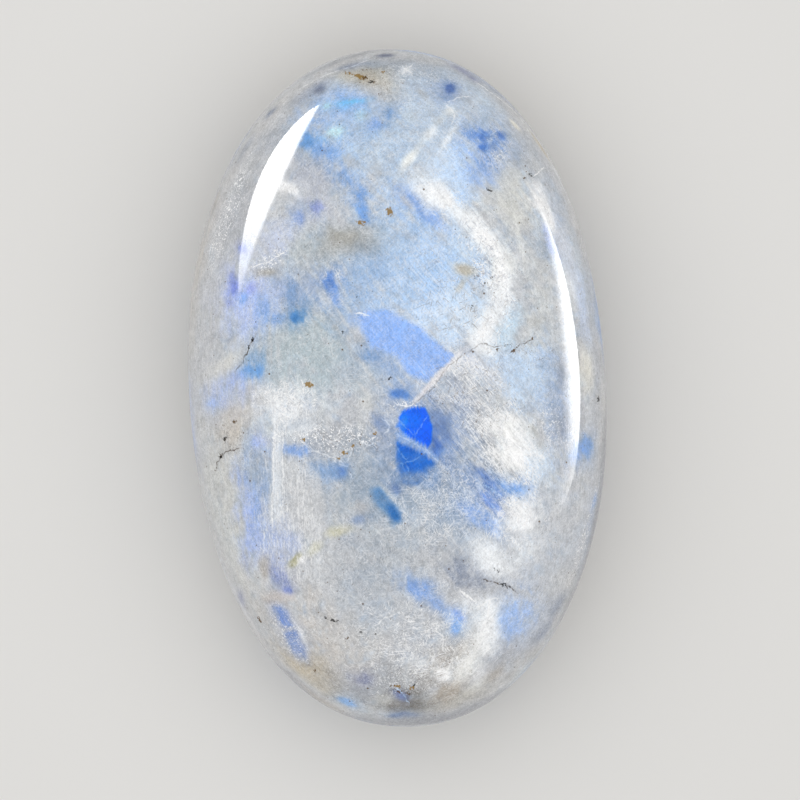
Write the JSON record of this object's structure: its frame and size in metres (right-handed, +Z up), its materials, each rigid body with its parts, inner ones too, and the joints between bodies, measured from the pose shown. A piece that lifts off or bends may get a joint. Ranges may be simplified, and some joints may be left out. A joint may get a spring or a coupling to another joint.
{
  "type": "polished moonstone palm stone",
  "caption": "Polished oval moonstone with a high front dome and a shallower back dome, lying on its back on a small flat.",
  "frame": {"origin": "centre of the small flat on the back dome that the stone rests on, at the middle of its footprint", "axes": "+Y along the stone's length, towards the end that is uppermost in the picture; +X across its width, to the right of the picture; +Z up, out of the front dome"},
  "size_m": [0.0408, 0.066, 0.02],
  "materials": {
    "moonstone": "high polish, milky grey-white with blue sheen patches"
  },
  "bodies": {
    "root": {"moonstone": "moonstone"}
  },
  "joints": []
}
